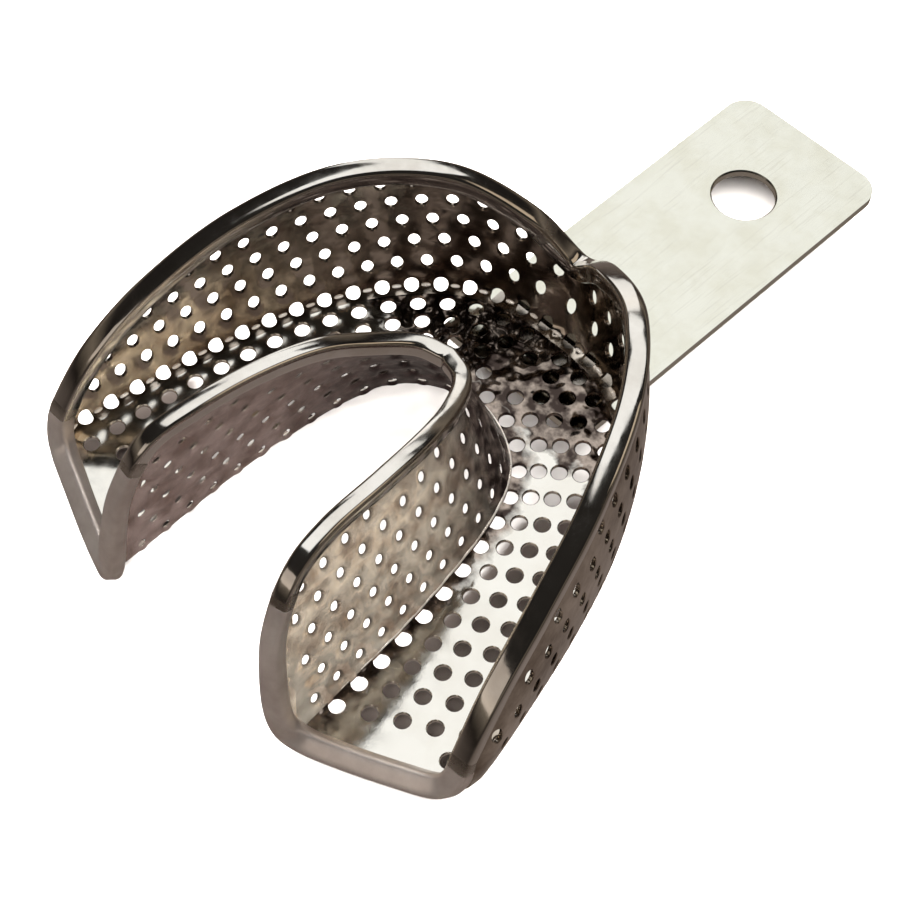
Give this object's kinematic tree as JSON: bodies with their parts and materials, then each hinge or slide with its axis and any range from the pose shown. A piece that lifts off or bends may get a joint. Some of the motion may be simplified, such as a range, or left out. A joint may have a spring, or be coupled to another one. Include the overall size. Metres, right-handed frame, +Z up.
{
  "type": "dental impression tray",
  "caption": "Lower-jaw stock impression tray: perforated metal U trough with solid rims, flat drilled handle",
  "frame": {"origin": "centre of the bounding box at the lowest point of the heel rims", "axes": "+X to the wearer's left, +Y towards the tip of the handle, +Z up out of the trough"},
  "size_m": [0.0672, 0.105, 0.0297],
  "materials": {
    "sheet": "polished nickel plate over perforated brass sheet",
    "rim": "bright polished",
    "handle": "satin polished, warm white",
    "solder": "plated solder, slightly rough"
  },
  "bodies": {
    "root": {"floor_plate": "sheet", "outer_wall": "sheet", "lingual_wall": "sheet", "frenum_rim": "rim", "outer_rim_right": "rim", "outer_rim_left": "rim", "heel_rim_right": "rim", "heel_rim_left": "rim", "lingual_rim": "rim", "handle_plate": "handle", "notch_solder_right": "solder", "notch_solder_left": "solder", "heel_solder_right": "solder", "heel_solder_left": "solder", "lingual_solder_right": "solder", "lingual_solder_left": "solder", "outer_seam_solder": "solder", "lingual_seam_solder": "solder", "handle_pad_solder": "solder", "handle_fillet_solder": "solder"}
  },
  "joints": []
}
